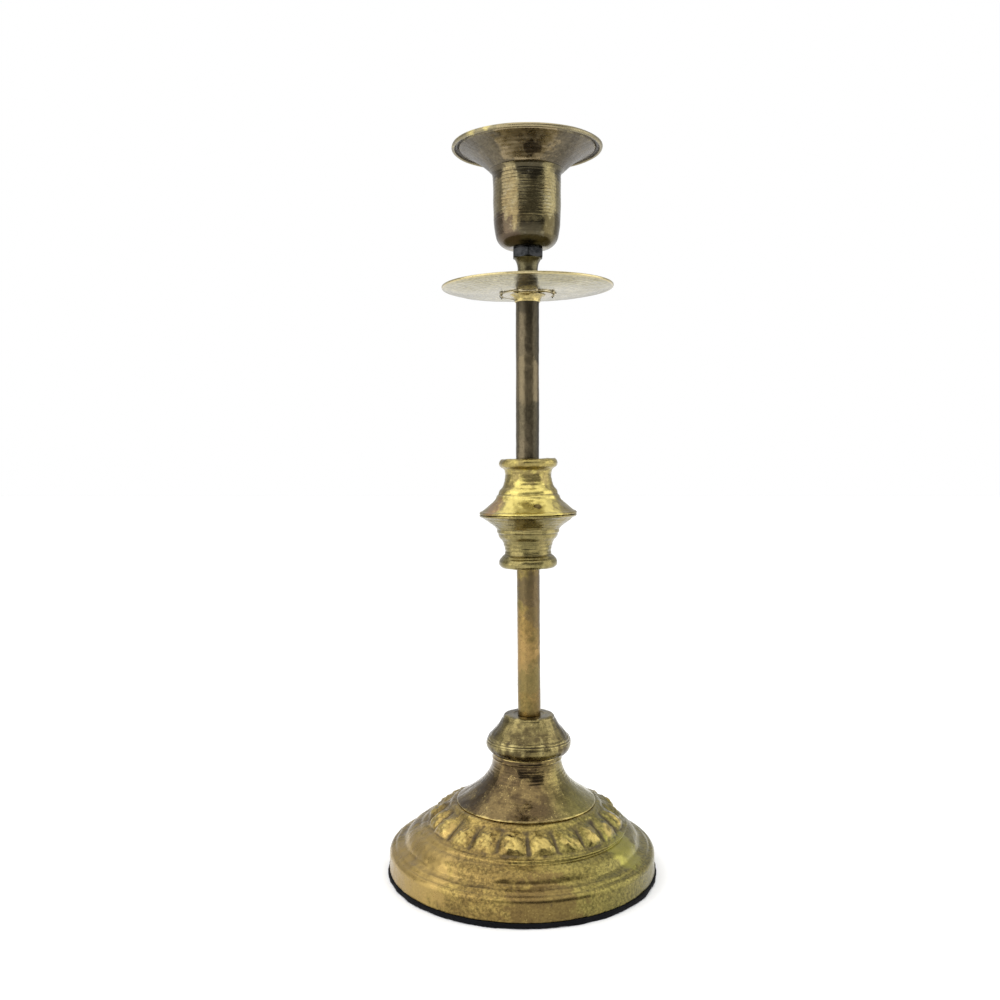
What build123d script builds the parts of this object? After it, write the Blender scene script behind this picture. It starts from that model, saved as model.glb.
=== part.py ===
"""Altar candlestick: a spun brass stand clamped on one threaded rod, with a screw-on candle cup.

Millimetres. Z runs up through the centre of the foot and the underside of the felt lies on
Z = 0. The piece is crooked: the crown of the base and the whole column stand a little off the
foot's centre, towards +X.
From the floor up: felt, base shell, flared cone, knob, lower tube, knop of two halves,
upper tube, collar, rosette, drip pan, waisted neck with its stud, hexagon nut, candle cup.
"""
import os

from build123d import *

# ---------------------------------------------------------------- driving dimensions
# base
CROWN_X = 1.3               # the gadrooned crown of the base stands this far off the foot's centre
COLUMN_X = 1.8              # and so does the column
FELT_R = 47.0
FELT_T = 1.6
SKIRT_R = 46.3              # outside of the base shell where it stands on the felt
SKIRT_TOP_R = 45.1
SKIRT_TOP_Z = 9.3
SHELL_WALL = 0.8
PLATE_T = 1.2
LOBE_COUNT = 21             # gadroons around the base
LOBE_LOW = (34.0, 17.4)     # radius and height where the band of lobes starts
LOBE_TOP = (25.6, 24.2)     # and where it ends
LOBE_RISE = 1.2             # how far a lobe stands out of the band
LOBE_PHASE = 0.2            # share of one lobe's turn from the +X side to the first lobe
SHELL_TOP_R = 25.2
SHELL_TOP_Z = 24.4
CONE_R = 24.2               # lower edge of the flared cone
CONE_NECK_R = 12.0
CONE_TOP_Z = 41.3
CONE_WALL = 0.9
KNOB_R = 14.8
KNOB_TOP_Z = 54.8
KNOB_TOP_R = 7.9
# column
ROD_R = 2.95                # M6 studding
ROD_HOLE_R = 3.2            # clearance hole for it
THREAD_R = 3.0              # tapped hole for it
TUBE_R = 4.0
TUBE_FIT = 0.03             # radial play of a tube end in its seat
SEAT_DEPTH = 0.5            # tube ends stand this deep in the pieces they meet
KNOP_Z = 124.9              # joint between the two halves of the knop
KNOP_HIGH_H = 19.1          # height of its upper half
KNOP_LOW_H = 18.6           # and of its lower half
KNOP_R = 16.9
KNOP_WALL = 0.8
END_WALL = 1.4
# pan and neck
COLLAR_Z = 197.6
PAN_Z = 200.5               # underside of the drip pan at its centre
PAN_R = 29.5
PAN_WALL = 0.7
PAN_RISE = 1.8              # height from the pan's centre to the foot of its rim
PAN_RIM = 0.9
ROSETTE_T = 0.4
NECK_TOP_Z = 212.6
NECK_WAIST_R = 3.45
STUD_TOP_Z = 221.0
# fasteners, M6
NUT_FLATS = 10.0
NUT_H = 5.0
LOCK_NUT_H = 3.2            # thin nut
WASHER_R = 6.0
WASHER_T = 1.6
# candle cup
CUP_Z = NECK_TOP_Z + LOCK_NUT_H     # underside of the cup, standing on the lock nut
CANDLE_R = 11.0             # socket for a 22 mm candle
CUP_R = 11.6
CUP_MOUTH = (12.8, 242.2)   # radius and height of the flared mouth
MOUTH_WALL = 0.6
DISH_R = 25.8
DISH_TOP_Z = 250.6

# ---------------------------------------------------------------- derived heights
plate_top = FELT_T + PLATE_T
shell_seat = SHELL_TOP_Z - SHELL_WALL
nut_low = shell_seat - 2 * WASHER_T - NUT_H
rod_low = nut_low - 3.0
collar_top = PAN_Z - ROSETTE_T
neck_low = PAN_Z + PAN_WALL
rod_top = neck_low + 4.6
knop_low = KNOP_Z - KNOP_LOW_H
knop_top = KNOP_Z + KNOP_HIGH_H
cup_floor = CUP_Z + MOUTH_WALL
crown_plane = Plane(origin=(CROWN_X, 0, 0), x_dir=(1, 0, 0), z_dir=(0, -1, 0))
crown_axis = Axis((CROWN_X, 0, 0), (0, 0, 1))

os.makedirs("parts", exist_ok=True)


def save(piece, name, x=COLUMN_X):
    """Stand a finished piece on the column's line, label it and write its own STEP file."""
    placed = piece.part.moved(Location((x, 0, 0)))
    placed.label = name
    export_step(placed, f"parts/{name}.step")


def round_bar(radius, low, high, bore=0.0):
    """A plain round bar or tube on the axis, from one height to another."""
    with BuildPart() as bar:
        with BuildSketch(Plane.XY.offset(low)):
            Circle(radius)
            if bore:
                Circle(bore, mode=Mode.SUBTRACT)
        extrude(amount=high - low)
    return bar


def hexagon_nut(low, height):
    """An M6 hexagon nut with both ends of its corners turned off at 30 degrees."""
    corner_r = NUT_FLATS / 3 ** 0.5
    turned_off = 0.42
    with BuildPart() as nut:
        with BuildSketch(Plane.XY.offset(low)):
            RegularPolygon(corner_r, 6, rotation=30)
        extrude(amount=height)
        with BuildSketch(Plane.XZ):
            with BuildLine():
                Polyline(
                    (0, low),
                    (corner_r - 2 * turned_off, low),
                    (corner_r, low + turned_off),
                    (corner_r, low + height - turned_off),
                    (corner_r - 2 * turned_off, low + height),
                    (0, low + height),
                    close=True,
                )
            make_face()
        revolve(axis=Axis.Z, mode=Mode.INTERSECT)
        with BuildSketch(Plane.XY.offset(low)):
            Circle(THREAD_R)
        extrude(amount=height, mode=Mode.SUBTRACT)
    return nut


# ---------------------------------------------------------------- base
felt_pad = round_bar(FELT_R, 0, FELT_T)
save(felt_pad, "felt_pad", x=0)

# steel disc that closes the shell and carries the felt
base_plate = round_bar(SKIRT_R - SHELL_WALL - 0.1, FELT_T, plate_top)
save(base_plate, "base_plate", x=0)

# one gadroon: an egg lying along the slope of the band, half sunk in it
lobe_run = LOBE_LOW[0] - LOBE_TOP[0]
lobe_climb = LOBE_TOP[1] - LOBE_LOW[1]
lobe_length = (lobe_run ** 2 + lobe_climb ** 2) ** 0.5
lobe_mid_r = (LOBE_LOW[0] + LOBE_TOP[0]) / 2
lobe_mid_z = (LOBE_LOW[1] + LOBE_TOP[1]) / 2
lobe_width = 0.86 * 2 * 3.1416 * lobe_mid_r / LOBE_COUNT
lobe_egg = scale(Sphere(1), by=(0.47 * lobe_length, 0.5 * lobe_width, LOBE_RISE))
lobe_plane = Plane(
    origin=(lobe_mid_r, 0, lobe_mid_z),
    x_dir=(-lobe_run, 0, lobe_climb),
    z_dir=(lobe_climb, 0, lobe_run),
)
lobe = lobe_plane.location * lobe_egg

with BuildPart() as base_shell:
    # skirt, bead and quarter-round, solid down to the lower edge
    with BuildSketch(Plane.XZ):
        with BuildLine():
            Polyline((0, 16.6), (0, FELT_T), (SKIRT_R, FELT_T), (SKIRT_R - 0.1, 7.0))
            ThreePointArc((SKIRT_R - 0.1, 7.0), (SKIRT_R - 0.4, 8.4), (SKIRT_TOP_R, SKIRT_TOP_Z))
            Polyline(
                (SKIRT_TOP_R, SKIRT_TOP_Z),
                (43.5, 10.0),
                (43.1, 10.6),
                (41.2, 11.1),
                (40.6, 11.6),
            )
            ThreePointArc((40.6, 11.6), (38.8, 14.2), (35.9, 15.7))
            Polyline((35.9, 15.7), (35.7, 16.6), (0, 16.6))
        make_face()
    revolve(axis=Axis.Z)
    # the crown, off centre: a fillet, the band of lobes and the flat under the cone
    with BuildSketch(crown_plane):
        with BuildLine():
            Polyline(
                (0, SHELL_TOP_Z),
                (0, 15.0),
                (34.3, 15.0),
                (34.3, 17.1),
                LOBE_LOW,
                LOBE_TOP,
                (SHELL_TOP_R, SHELL_TOP_Z),
                (0, SHELL_TOP_Z),
            )
        make_face()
    revolve(axis=crown_axis)
    for step in range(LOBE_COUNT):
        add(Location((CROWN_X, 0, 0)) * lobe.rotate(Axis.Z, (step + LOBE_PHASE) * 360 / LOBE_COUNT))
    # hollow inside, following the outside one wall thickness in
    with BuildSketch(Plane.XZ):
        with BuildLine():
            Polyline((0, 15.8), (0, FELT_T), (SKIRT_R - SHELL_WALL, FELT_T))
            Polyline((SKIRT_R - SHELL_WALL, FELT_T), (SKIRT_R - SHELL_WALL - 0.1, 7.0))
            Polyline((SKIRT_R - SHELL_WALL - 0.1, 7.0), (44.0, 8.9), (39.9, 10.6))
            ThreePointArc((39.9, 10.6), (38.0, 13.5), (34.8, 15.0))
            Polyline((34.8, 15.0), (34.8, 15.8), (0, 15.8))
        make_face()
    revolve(axis=Axis.Z, mode=Mode.SUBTRACT)
    with BuildSketch(crown_plane):
        with BuildLine():
            Polyline(
                (0, shell_seat),
                (0, 15.0),
                (33.3, 15.0),
                (33.3, 16.8),
                (LOBE_TOP[0] - SHELL_WALL, shell_seat),
                (0, shell_seat),
            )
        make_face()
    revolve(axis=crown_axis, mode=Mode.SUBTRACT)
    with BuildSketch(Plane.XY.offset(SHELL_TOP_Z)):
        with Locations((COLUMN_X, 0)):
            Circle(ROD_HOLE_R)
    extrude(amount=-SHELL_WALL, mode=Mode.SUBTRACT)
save(base_shell, "base_shell", x=0)

# flared cone that stands on the shell and carries the knob on its closed neck
with BuildPart() as base_cone:
    with BuildSketch(Plane.XZ):
        with BuildLine():
            Line((CONE_R, SHELL_TOP_Z), (CONE_R, SHELL_TOP_Z + 0.6))
            Spline(
                (CONE_R, SHELL_TOP_Z + 0.6),
                (18.65, 28.7),
                (13.9, 33.5),
                (CONE_NECK_R, 39.2),
                tangents=((-2, 0.9), (0, 1)),
            )
            Polyline(
                (CONE_NECK_R, 39.2),
                (CONE_NECK_R, CONE_TOP_Z),
                (ROD_HOLE_R, CONE_TOP_Z),
                (ROD_HOLE_R, CONE_TOP_Z - CONE_WALL),
                (CONE_NECK_R - CONE_WALL, CONE_TOP_Z - CONE_WALL),
                (CONE_NECK_R - CONE_WALL, 39.0),
            )
            Spline(
                (CONE_NECK_R - CONE_WALL, 39.0),
                (13.1, 33.0),
                (18.0, 28.0),
                (CONE_R - 1.5, SHELL_TOP_Z),
                tangents=((0, -1), (2, -0.9)),
            )
            Line((CONE_R - 1.5, SHELL_TOP_Z), (CONE_R, SHELL_TOP_Z))
        make_face()
    revolve(axis=Axis.Z)
save(base_cone, "base_cone")

# hollow cast knob over the cone's neck, with a seat for the lower tube in its top
with BuildPart() as base_knob:
    with BuildSketch(Plane.XZ):
        with BuildLine():
            ThreePointArc((11.9, CONE_TOP_Z), (KNOB_R, 44.4), (13.3, 47.6))
            Spline(
                (13.3, 47.6),
                (10.6, 51.1),
                (8.9, 53.8),
                tangents=((-1, 1), (-0.5, 1)),
            )
            ThreePointArc((8.9, 53.8), (8.6, 54.5), (KNOB_TOP_R, KNOB_TOP_Z))
            Polyline(
                (KNOB_TOP_R, KNOB_TOP_Z),
                (TUBE_R + TUBE_FIT, KNOB_TOP_Z),
                (TUBE_R + TUBE_FIT, KNOB_TOP_Z - SEAT_DEPTH),
                (ROD_HOLE_R, KNOB_TOP_Z - SEAT_DEPTH),
                (ROD_HOLE_R, 52.0),
                (7.0, 52.0),
                (12.2, 46.6),
            )
            ThreePointArc((12.2, 46.6), (12.9, 44.4), (10.6, CONE_TOP_Z))
            Line((10.6, CONE_TOP_Z), (11.9, CONE_TOP_Z))
        make_face()
    revolve(axis=Axis.Z)
save(base_knob, "base_knob")

# ---------------------------------------------------------------- clamp inside the base
save(round_bar(WASHER_R, shell_seat - WASHER_T, shell_seat, bore=ROD_HOLE_R), "clamp_washer")

# split spring washer, closed flat by the nut
with BuildPart() as spring_washer:
    with BuildSketch(Plane.XY.offset(shell_seat - 2 * WASHER_T)):
        Circle(WASHER_R - 0.1)
        Circle(ROD_HOLE_R - 0.1, mode=Mode.SUBTRACT)
        with Locations((WASHER_R, 0)):
            Rectangle(2 * WASHER_R, 0.6, rotation=20, mode=Mode.SUBTRACT)
    extrude(amount=WASHER_T)
save(spring_washer, "spring_washer")

save(hexagon_nut(nut_low, NUT_H), "base_nut")
save(round_bar(ROD_R, rod_low, rod_top), "tie_rod")

# ---------------------------------------------------------------- column
lower_tube = round_bar(TUBE_R, KNOB_TOP_Z - SEAT_DEPTH, knop_low + SEAT_DEPTH, bore=ROD_HOLE_R)
save(lower_tube, "lower_tube")

def knop_half(height, swell):
    """Half of the knop, drawn upwards from its joint: a spun cup, flanged below, closed above.

    swell is the radius of the flank half-way up, and the heights follow the upper half's.
    """
    share = height / KNOP_HIGH_H
    with BuildPart() as half:
        with BuildSketch(Plane.XZ):
            with BuildLine():
                Polyline((KNOP_R - 1.6, 0), (KNOP_R, 0), (KNOP_R, 0.5), (15.7, 1.1))
                ThreePointArc((15.7, 1.1), (swell, 4.1 * share), (10.2, 6.7 * share))
                Polyline((10.2, 6.7 * share), (10.05, 8.3 * share), (9.1, 9.6 * share))
                ThreePointArc((9.1, 9.6 * share), (7.9, 13.5 * share), (9.2, 16.2 * share))
                ThreePointArc((9.2, 16.2 * share), (10.05, height - 1.5), (9.2, height))
                Polyline(
                    (9.2, height),
                    (TUBE_R + TUBE_FIT, height),
                    (TUBE_R + TUBE_FIT, height - SEAT_DEPTH),
                    (ROD_HOLE_R, height - SEAT_DEPTH),
                    (ROD_HOLE_R, height - END_WALL),
                    (7.2, height - END_WALL),
                    (7.0, 13.5 * share),
                )
                ThreePointArc((7.0, 13.5 * share), (7.3, 11.1 * share), (9.0, 7.5 * share))
                Polyline(
                    (9.0, 7.5 * share),
                    (9.2, 6.5 * share),
                    (swell - 0.7, 3.3 * share),
                    (KNOP_R - 1.6, 0.6),
                    (KNOP_R - 1.6, 0),
                )
            make_face()
        revolve(axis=Axis.Z)
    return half


with BuildPart() as knop_upper:
    add(knop_half(KNOP_HIGH_H, 12.6).part.moved(Location((0, 0, KNOP_Z))))
save(knop_upper, "knop_upper")

with BuildPart() as knop_lower:
    mirror(knop_half(KNOP_LOW_H, 12.2).part.moved(Location((0, 0, -KNOP_Z))), about=Plane.XY)
save(knop_lower, "knop_lower")

# sleeve that takes the clamping load through the hollow knop
spacer_low = knop_low + END_WALL
spacer_high = knop_top - END_WALL
save(round_bar(TUBE_R, spacer_low, spacer_high, bore=ROD_HOLE_R), "knop_spacer")

upper_tube = round_bar(TUBE_R, knop_top - SEAT_DEPTH, collar_top - 0.8, bore=ROD_HOLE_R)
save(upper_tube, "upper_tube")

# ---------------------------------------------------------------- drip pan and neck
# flared collar, slipped over the top of the upper tube
with BuildPart() as pan_collar:
    with BuildSketch(Plane.XZ):
        with BuildLine():
            Line((TUBE_R + TUBE_FIT, COLLAR_Z), (4.4, COLLAR_Z))
            ThreePointArc((4.4, COLLAR_Z), (4.75, COLLAR_Z + 1.5), (6.3, collar_top))
            Polyline(
                (6.3, collar_top),
                (ROD_HOLE_R, collar_top),
                (ROD_HOLE_R, collar_top - 0.8),
                (TUBE_R + TUBE_FIT, collar_top - 0.8),
                (TUBE_R + TUBE_FIT, COLLAR_Z),
            )
        make_face()
    revolve(axis=Axis.Z)
save(pan_collar, "pan_collar")

# thin washer with a scalloped edge under the pan
with BuildPart() as pan_rosette:
    with BuildSketch(Plane.XY.offset(collar_top)):
        Circle(8.8)
        with PolarLocations(8.0, 8):
            Circle(2.3)
        Circle(ROD_HOLE_R, mode=Mode.SUBTRACT)
    extrude(amount=ROSETTE_T)
save(pan_rosette, "pan_rosette")

# shallow drip pan: flat centre, gentle rise, short upright rim
with BuildPart() as drip_pan:
    with BuildSketch(Plane.XZ):
        with BuildLine():
            Line((ROD_HOLE_R, PAN_Z), (12.0, PAN_Z))
            ThreePointArc((12.0, PAN_Z), (21.5, PAN_Z + 0.5), (PAN_R - 0.5, PAN_Z + PAN_RISE))
            Polyline(
                (PAN_R - 0.5, PAN_Z + PAN_RISE),
                (PAN_R, PAN_Z + PAN_RISE + 0.2),
                (PAN_R, PAN_Z + PAN_RISE + PAN_RIM),
                (PAN_R - PAN_WALL, PAN_Z + PAN_RISE + PAN_RIM),
                (PAN_R - PAN_WALL - 0.5, PAN_Z + PAN_RISE + PAN_WALL),
            )
            ThreePointArc(
                (PAN_R - PAN_WALL - 0.5, PAN_Z + PAN_RISE + PAN_WALL),
                (21.3, PAN_Z + 0.5 + PAN_WALL),
                (12.0, PAN_Z + PAN_WALL),
            )
            Polyline((12.0, PAN_Z + PAN_WALL), (ROD_HOLE_R, PAN_Z + PAN_WALL), (ROD_HOLE_R, PAN_Z))
        make_face()
    revolve(axis=Axis.Z)
save(drip_pan, "drip_pan")

# waisted neck, tapped below for the tie rod, with the cup's stud turned on its top
with BuildPart() as neck_spool:
    with BuildSketch(Plane.XZ):
        with BuildLine():
            Polyline((THREAD_R, neck_low), (5.4, neck_low), (5.4, neck_low + 0.9))
            ThreePointArc((5.4, neck_low + 0.9), (3.9, 205.6), (NECK_WAIST_R, 208.9))
            ThreePointArc((NECK_WAIST_R, 208.9), (3.8, 210.9), (4.7, NECK_TOP_Z))
            Polyline(
                (4.7, NECK_TOP_Z),
                (ROD_R, NECK_TOP_Z),
                (ROD_R, STUD_TOP_Z - 0.5),
                (ROD_R - 0.5, STUD_TOP_Z),
                (0, STUD_TOP_Z),
                (0, rod_top),
                (THREAD_R, rod_top),
                (THREAD_R, neck_low),
            )
        make_face()
    revolve(axis=Axis.Z)
save(neck_spool, "neck_spool")

save(hexagon_nut(NECK_TOP_Z, LOCK_NUT_H), "lock_nut")

# ---------------------------------------------------------------- candle cup
with BuildPart() as cup_body:
    with BuildSketch(Plane.XZ):
        with BuildLine():
            Line((ROD_HOLE_R, CUP_Z), (6.0, CUP_Z))
            ThreePointArc((6.0, CUP_Z), (9.2, CUP_Z + 1.4), (10.75, CUP_Z + 4.3))
            ThreePointArc((10.75, CUP_Z + 4.3), (11.25, CUP_Z + 7.3), (11.5, CUP_Z + 10.7))
            Line((11.5, CUP_Z + 10.7), (CUP_R, 240.0))
            ThreePointArc((CUP_R, 240.0), (11.85, 241.2), CUP_MOUTH)
            Line(CUP_MOUTH, (CUP_MOUTH[0] - MOUTH_WALL, CUP_MOUTH[1]))
            ThreePointArc((CUP_MOUTH[0] - MOUTH_WALL, CUP_MOUTH[1]), (11.3, 241.5), (CANDLE_R, 240.2))
            Line((CANDLE_R, 240.2), (CANDLE_R, cup_floor + 8.0))
            ThreePointArc(
                (CANDLE_R, cup_floor + 8.0),
                (9.0, cup_floor + 2.2),
                (5.0, cup_floor),
            )
            Polyline((5.0, cup_floor), (ROD_HOLE_R, cup_floor), (ROD_HOLE_R, CUP_Z))
        make_face()
    revolve(axis=Axis.Z)
save(cup_body, "cup_body")

# threaded boss fixed to the floor of the cup
save(round_bar(5.0, cup_floor, STUD_TOP_Z + 0.6, bore=THREAD_R), "cup_bush")

# flared dish on the mouth of the cup, its edge rolled under with a channel behind the roll
with BuildPart() as cup_dish:
    with BuildSketch(Plane.XZ):
        with BuildLine():
            Line((CUP_MOUTH[0] - MOUTH_WALL, CUP_MOUTH[1]), CUP_MOUTH)
            Bezier(CUP_MOUTH, (17.6, 247.1), (23.2, 249.5))
            Polyline((23.2, 249.5), (23.4, 250.0), (24.0, 250.0), (24.0, 249.9))
            Line((24.0, 249.9), (24.3, 249.7))
            Line((24.3, 249.7), (25.3, 249.7))
            ThreePointArc((25.3, 249.7), (DISH_R, 250.1), (25.1, DISH_TOP_Z))
            Line((25.1, DISH_TOP_Z), (23.6, DISH_TOP_Z))
            Bezier(
                (23.6, DISH_TOP_Z),
                (17.2, 248.0),
                (CUP_MOUTH[0] - MOUTH_WALL, CUP_MOUTH[1] + 0.6),
            )
            Line(
                (CUP_MOUTH[0] - MOUTH_WALL, CUP_MOUTH[1] + 0.6),
                (CUP_MOUTH[0] - MOUTH_WALL, CUP_MOUTH[1]),
            )
        make_face()
    revolve(axis=Axis.Z)
save(cup_dish, "cup_dish")
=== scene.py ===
"""Looks of the altar candlestick: finely turned and embossed meshes with aged-brass materials.

They run up the outside, across the top and down the inside.
"""
import math

import bpy
import numpy as np
from mathutils import Matrix, Vector


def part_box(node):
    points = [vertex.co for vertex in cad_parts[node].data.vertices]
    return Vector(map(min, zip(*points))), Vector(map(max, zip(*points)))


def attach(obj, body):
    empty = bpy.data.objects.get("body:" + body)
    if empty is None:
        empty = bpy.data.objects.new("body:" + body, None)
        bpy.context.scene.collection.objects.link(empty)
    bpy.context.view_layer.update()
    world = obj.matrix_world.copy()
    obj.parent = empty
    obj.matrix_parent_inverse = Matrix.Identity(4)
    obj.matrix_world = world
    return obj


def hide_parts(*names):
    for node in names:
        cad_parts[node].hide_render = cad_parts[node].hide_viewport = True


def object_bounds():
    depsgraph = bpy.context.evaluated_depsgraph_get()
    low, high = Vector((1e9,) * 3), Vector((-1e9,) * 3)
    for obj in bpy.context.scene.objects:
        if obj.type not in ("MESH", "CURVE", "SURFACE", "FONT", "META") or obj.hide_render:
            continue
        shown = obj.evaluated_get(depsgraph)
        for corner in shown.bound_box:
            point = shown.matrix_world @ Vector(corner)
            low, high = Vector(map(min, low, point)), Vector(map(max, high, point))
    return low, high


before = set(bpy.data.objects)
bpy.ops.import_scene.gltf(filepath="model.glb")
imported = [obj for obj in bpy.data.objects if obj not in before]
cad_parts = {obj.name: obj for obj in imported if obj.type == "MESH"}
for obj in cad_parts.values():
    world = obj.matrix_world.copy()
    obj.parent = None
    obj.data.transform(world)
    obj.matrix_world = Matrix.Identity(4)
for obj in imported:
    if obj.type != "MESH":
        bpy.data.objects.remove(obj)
cad_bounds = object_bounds()

MM = 0.001
STAND, CUP = "stand", "cup"
HEIGHT = cad_bounds[1].z - cad_bounds[0].z
LOBES = 21
LOBE_PHASE = 0.2            # of one lobe's turn, counted from the +X axis
THREAD_PITCH = 1.0
EYE = Vector((-0.0308, -1.383, 0.581))      # camera's place, as a share of the object's height
EYE_DIP = 2.64              # degrees the camera looks down


# ---------------------------------------------------------------- outlines
def arc(start, middle, end, steps=14):
    """Points of the round stretch from start to end through middle, without start itself."""
    (ax, ay), (bx, by), (cx, cy) = start, middle, end
    d = 2 * (ax * (by - cy) + bx * (cy - ay) + cx * (ay - by))
    a2, b2, c2 = ax * ax + ay * ay, bx * bx + by * by, cx * cx + cy * cy
    ox = (a2 * (by - cy) + b2 * (cy - ay) + c2 * (ay - by)) / d
    oy = (a2 * (cx - bx) + b2 * (ax - cx) + c2 * (bx - ax)) / d
    radius = math.hypot(ax - ox, ay - oy)
    first = math.atan2(ay - oy, ax - ox)
    turn = 2 * math.pi
    to_mid = (math.atan2(by - oy, bx - ox) - first) % turn
    to_end = (math.atan2(cy - oy, cx - ox) - first) % turn
    sweep = to_end if to_mid < to_end else to_end - turn
    angles = [first + sweep * k / steps for k in range(1, steps + 1)]
    return [(ox + radius * math.cos(a), oy + radius * math.sin(a)) for a in angles]


def curve(points, steps=10):
    """A smooth run through the points, without the first one."""
    p = [np.array(q, float) for q in points]
    p = [2 * p[0] - p[1]] + p + [2 * p[-1] - p[-2]]
    out = []
    for a, b, c, d in zip(p, p[1:], p[2:], p[3:]):
        for k in range(1, steps + 1):
            t = k / steps
            q = 0.5 * (2 * b + (c - a) * t + (2 * a - 5 * b + 4 * c - d) * t ** 2
                       + (3 * b - a - 3 * c + d) * t ** 3)
            out.append((float(q[0]), float(q[1])))
    return out


def resample(outline, step, closed):
    """Points no further apart than step; the corners stay."""
    ends = outline[1:] + (outline[:1] if closed else [])
    out = []
    for (r0, z0), (r1, z1) in zip(outline, ends):
        count = max(1, math.ceil(math.hypot(r1 - r0, z1 - z0) / step))
        out += [(r0 + (r1 - r0) * k / count, z0 + (z1 - z0) * k / count) for k in range(count)]
    if not closed:
        out.append(outline[-1])
    return np.array(out)


def smooth_rows(a, passes, closed):
    """Rows averaged with their neighbours; the ends of an open run stay."""
    for _ in range(passes):
        if closed:
            a = 0.5 * a + 0.25 * (np.roll(a, 1, 0) + np.roll(a, -1, 0))
        else:
            a = np.concatenate([a[:1], 0.5 * a[1:-1] + 0.25 * (a[:-2] + a[2:]), a[-1:]])
    return a


# ---------------------------------------------------------------- relief on a turned piece
def lumps(x, y, z, size, seed, waves=14):
    """Smooth random hills about -1 to 1, with features of the given size."""
    rng = np.random.default_rng(seed)
    total = np.zeros_like(x)
    for _ in range(waves):
        way = rng.normal(size=3)
        way *= rng.uniform(0.6, 1.5) * 2 * math.pi / size / np.linalg.norm(way)
        total += np.sin(way[0] * x + way[1] * y + way[2] * z + rng.uniform(0, 2 * math.pi))
    return total / math.sqrt(waves)


def band(value, low, high, soft):
    """1 between low and high, falling to 0 over soft on each side."""
    rise = np.clip((value - low) / soft + 0.5, 0, 1)
    fall = np.clip((high - value) / soft + 0.5, 0, 1)
    rise = rise * rise * (3 - 2 * rise)
    return rise * fall * fall * (3 - 2 * fall)


def lathe(name, node, body, outline, around, relief, step=0.3, closed=True, rounding=2,
          worn=0.16, lean=(0, 0), tilt=0.0, drift=None, passes=10, plain=None):
    """A turned piece that stands for a CAD node, on that node's own upright axis.

    relief(theta, r, z, x, y) gives how far the surface stands out, in millimetres. The mesh
    keeps "relief", positive on raised edges and negative in hollows, for its material; more
    passes make it tell apart broader hills and hollows, and it is 0 between the two heights
    of plain. lean
    carries its lower and upper end along X, tilt is in degrees, with the +X side up, and
    drift(z) carries it along X by height. All are small faults of the hand-made piece.
    """
    low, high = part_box(node)
    foot, tall = low.z / MM, (high.z - low.z) / MM
    middle = (low.x + high.x) / 2 / MM
    ring = smooth_rows(resample(outline, step, closed), rounding, closed)
    if closed:
        tangent = np.roll(ring, -1, 0) - np.roll(ring, 1, 0)
    else:
        tangent = np.gradient(ring, axis=0)
    tangent /= np.maximum(np.linalg.norm(tangent, axis=1, keepdims=True), 1e-9)
    normal = np.stack([tangent[:, 1], -tangent[:, 0]], 1)
    raised = ((ring - smooth_rows(ring, 10, closed)) * normal).sum(1)

    theta = np.linspace(0, 2 * math.pi, around, endpoint=False)
    r = np.repeat(ring[:, :1], around, 1)
    z = np.repeat(ring[:, 1:], around, 1)
    th = np.repeat(theta[None, :], len(ring), 0)
    out = relief(th, r, z, r * np.cos(th), r * np.sin(th))
    even = out
    for _ in range(passes):
        even = 0.5 * even + 0.25 * (np.roll(even, 1, 1) + np.roll(even, -1, 1))
    even = smooth_rows(even, passes, closed)
    height = (raised[:, None] + out - even) / worn
    if plain:
        height *= 1 - band(z, *plain, 0.5)

    r = r + out * normal[:, :1]
    z = z + out * normal[:, 1:]
    x, y = r * np.cos(th), r * np.sin(th)
    across = middle + x + lean[0] + (lean[1] - lean[0]) * z / tall
    if drift:
        across = across + drift(z)
    points = np.stack([across, y, z + foot + math.tan(math.radians(tilt)) * x], -1) * MM
    rows = len(ring)
    if closed:
        verts = points.reshape(-1, 3)
        height = height.reshape(-1)
        first_row, last_row, offset = 0, rows, 0
    else:
        verts = np.concatenate([points[0, :1], points[1:-1].reshape(-1, 3), points[-1, :1]])
        height = np.concatenate([height[0, :1], height[1:-1].reshape(-1), height[-1, :1]])
        first_row, last_row, offset = 0, rows - 3, 1
    faces = []
    for i in range(first_row, last_row):
        a, b = offset + i * around, offset + (i + 1) % (rows if closed else rows - 2) * around
        for j in range(around):
            k = (j + 1) % around
            faces.append((a + j, a + k, b + k, b + j))
    if not closed:
        last = len(verts) - 1
        top = offset + (rows - 3) * around
        for j in range(around):
            k = (j + 1) % around
            faces.append((0, 1 + k, 1 + j))
            faces.append((last, top + j, top + k))
    mesh = bpy.data.meshes.new(name)
    mesh.from_pydata(verts.tolist(), [], faces)
    mesh.polygons.foreach_set("use_smooth", [True] * len(mesh.polygons))
    layer = mesh.attributes.new("relief", "FLOAT", "POINT")
    layer.data.foreach_set("value", height.astype(np.float32))
    piece = bpy.data.objects.new(name, mesh)
    bpy.context.scene.collection.objects.link(piece)
    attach(piece, body)
    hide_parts(node)
    return piece


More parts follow.
